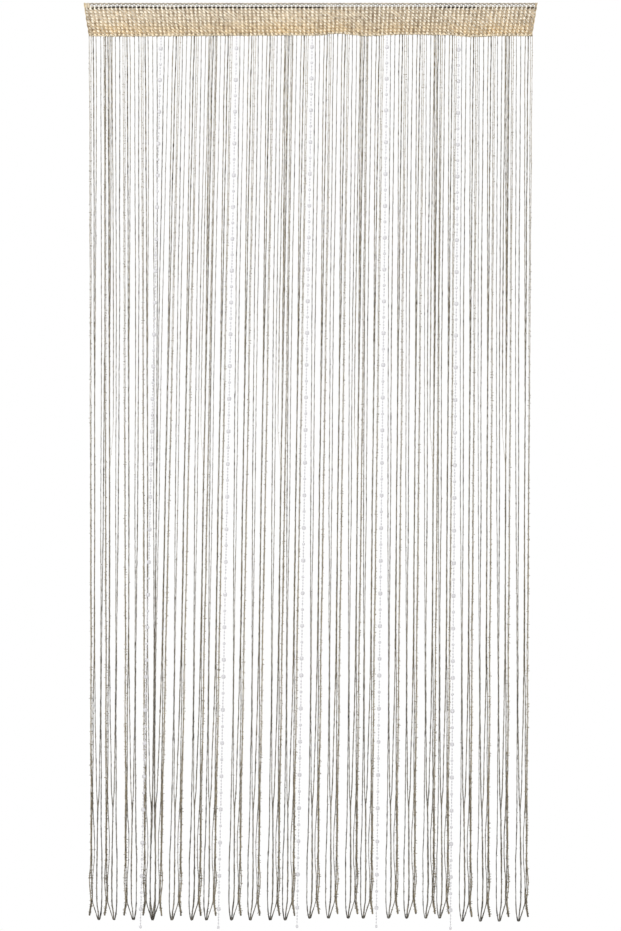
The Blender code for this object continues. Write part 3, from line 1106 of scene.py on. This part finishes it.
def bead_material():
    material = bpy.data.materials.new("clear_bead")
    material.use_nodes = True
    tree = material.node_tree
    shader = tree.nodes["Principled BSDF"]
    place = tree.nodes.new("ShaderNodeTexCoord")
    noise = tree.nodes.new("ShaderNodeTexNoise")
    noise.inputs["Scale"].default_value = 240.0
    tree.links.new(place.outputs["Object"], noise.inputs["Vector"])
    ramp = tree.nodes.new("ShaderNodeValToRGB")
    ramp.color_ramp.elements[0].color = (0.68, 0.67, 0.70, 1)
    ramp.color_ramp.elements[1].color = (0.80, 0.79, 0.81, 1)
    tree.links.new(noise.outputs["Fac"], ramp.inputs["Fac"])
    tree.links.new(ramp.outputs["Color"], shader.inputs["Base Color"])
    rough = math_node(tree, "MULTIPLY_ADD", noise.outputs["Fac"], 0.10, 0.06)
    tree.links.new(rough, shader.inputs["Roughness"])
    shader.inputs["Transmission Weight"].default_value = 0.18
    shader.inputs["IOR"].default_value = 1.40
    return material


clear_bead = bead_material()
bead_thread_yarn = yarn_material("bead_thread", YarnLook(
    dark=(0.50, 0.50, 0.51), light=(0.86, 0.86, 0.87), warm=(1.0, 0.98, 0.95),
    twist_scale=300.0, fuzz_scale=1400.0, fuzz_colour=0.2, nub_colour=0.1,
    bump=0.3, roughness=0.5, sheen=0.1,
))
print("bead materials", clear_bead.name, bead_thread_yarn.name)

# %% [markdown]
# ## The bead strings
# Each string carries 28 large beads about 70 mm apart, a middle bead halfway between them except in one
# short gap, and seed beads close together on the rest of the thread, with a drop at the end. A bead is a
# rounded profile spun round the thread, so it has its hole. A seed bead is the same shape with far fewer
# faces, as there are hundreds.

# %% Bead templates and places
BEAD_Y = -7.1
BEAD_TOP_INSET = 0.6
SWING_SHARE = 0.07
SEED_PITCH = 6.5
SEEDS_ABOVE = 22
SEED_END_ROOM = 9
SHORT_GAP = 50
THREAD_RADIUS = 0.4
BeadString = namedtuple("BeadString", "top foot first_depth foot_depth")
BEAD_STRINGS = (
    BeadString(-327.2, -372.2, 101.0, 2027.0),
    BeadString(-161.6, -201.8, 100.6, 2028.0),
    BeadString(3.8, -29.6, 97.6, 2026.0),
    BeadString(167.8, 143.8, 98.1, 2026.0),
    BeadString(324.6, 306.0, 103.4, 2030.0),
)
BEAD_GAPS = [69.6] * 10 + [71.4] * 9 + [36.8] + [72.6] * 7
BeadSize = namedtuple("BeadSize", "radius half_height")
LARGE = BeadSize(4.3, 4.5)
MIDDLE = BeadSize(3.1, 3.1)
SEED = BeadSize(1.45, 2.6)
DROP = BeadSize(2.9, 3.6)


def bead_template(name, hole, corner, steps, segments):
    """A bead of radius 1 and half height 1 with a hole: a rounded square profile, spun round the thread."""
    bm = bmesh.new()
    corners = [bm.verts.new(place) for place in ((hole, 0, -0.92), (1, 0, -1), (1, 0, 1), (hole, 0, 0.92))]
    bm.faces.new(corners)
    outer = [vert for vert in bm.verts if vert.co.x == 1]
    bmesh.ops.bevel(
        bm, geom=outer, offset=corner, offset_type="OFFSET", segments=segments, profile=0.5,
        affect="VERTICES", material=-1,
    )
    bmesh.ops.delete(bm, geom=bm.faces[:], context="FACES_ONLY")
    bmesh.ops.spin(
        bm, geom=bm.verts[:] + bm.edges[:], cent=(0, 0, 0), axis=(0, 0, 1), dvec=(0, 0, 0),
        angle=math.tau, steps=steps, use_merge=True, use_duplicate=False,
    )
    bmesh.ops.recalc_face_normals(bm, faces=bm.faces)
    mesh = bpy.data.meshes.new(name)
    bm.to_mesh(mesh)
    bm.free()
    print(name, "faces", len(mesh.polygons))
    return mesh


def thread_point(string, depth):
    """The bead thread's X, Y and Z in millimetres at a depth below the heading's top edge."""
    root = float(edge_depth(string.top * MM)) / MM - BEAD_TOP_INSET
    share = (np.asarray(depth) - root) / (string.foot_depth - root)
    x = string.top + (string.foot - string.top) * share
    return np.stack([x, BEAD_Y * ease(share / SWING_SHARE), -np.asarray(depth, float)], axis=-1)


def bead_depths(string):
    """Depths of the large, middle and seed beads."""
    large = string.first_depth + np.concatenate([[0], np.cumsum(BEAD_GAPS)])
    wide = np.diff(large) > SHORT_GAP
    middle = ((large[1:] + large[:-1]) / 2)[wide]
    seeds = np.arange(string.first_depth - SEEDS_ABOVE, string.foot_depth - SEED_END_ROOM, SEED_PITCH)
    room_large = np.abs(seeds[:, None] - large).min(axis=1) > LARGE.half_height + SEED.half_height
    room_middle = np.abs(seeds[:, None] - middle).min(axis=1) > MIDDLE.half_height + SEED.half_height
    return large, middle, seeds[room_large & room_middle]


def placed_beads(template, string, depths, size):
    """Copies of the template at the depths, each with a slightly different size and turn."""
    points = points_of(template)
    count = len(depths)
    grown = 1 + 0.06 * chance.uniform(-1, 1, count)
    turns = chance.uniform(0, math.tau, count)
    cos, sin = np.cos(turns)[:, None], np.sin(turns)[:, None]
    side_x, side_y, up = points[:, 0], points[:, 1], points[:, 2]
    wide = (size.radius * grown)[:, None]
    shape = np.stack(
        [wide * (side_x * cos - side_y * sin), wide * (side_x * sin + side_y * cos),
         size.half_height * grown[:, None] * up], axis=-1,
    )
    return (shape + thread_point(string, depths)[:, None, :]) * MM


# %% Bead strings
bead_shape = bead_template("bead_shape", 0.13, 0.62, 12, 2)
seed_shape = bead_template("seed_shape", 0.30, 0.55, 5, 1)


def add_bead_string(number, string):
    large, middle, seeds = bead_depths(string)
    drop = np.array([string.foot_depth - DROP.half_height])
    batches = [
        (bead_shape, placed_beads(bead_shape, string, large, LARGE)),
        (bead_shape, placed_beads(bead_shape, string, middle, MIDDLE)),
        (bead_shape, placed_beads(bead_shape, string, drop, DROP)),
        (seed_shape, placed_beads(seed_shape, string, seeds, SEED)),
    ]
    node = f"bead_string_{number}"
    beads = add_piece(f"beads_{number}", copies_mesh(f"beads_{number}", batches), clear_bead)
    root = float(edge_depth(string.top * MM)) / MM - BEAD_TOP_INSET
    path = thread_point(string, np.linspace(root, string.foot_depth - 0.5, 60)) * MM
    thread = tube_mesh(f"bead_thread_{number}", [Yarn(path, THREAD_RADIUS * MM, 0.5, 0.0)], 1)
    thread_piece = add_piece(f"bead_thread_{number}", thread, bead_thread_yarn)
    for piece in (beads, thread_piece):
        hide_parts(node)
    return len(large), len(middle), len(seeds)


for number, string in enumerate(BEAD_STRINGS, 1):
    print("bead string", number, add_bead_string(number, string))
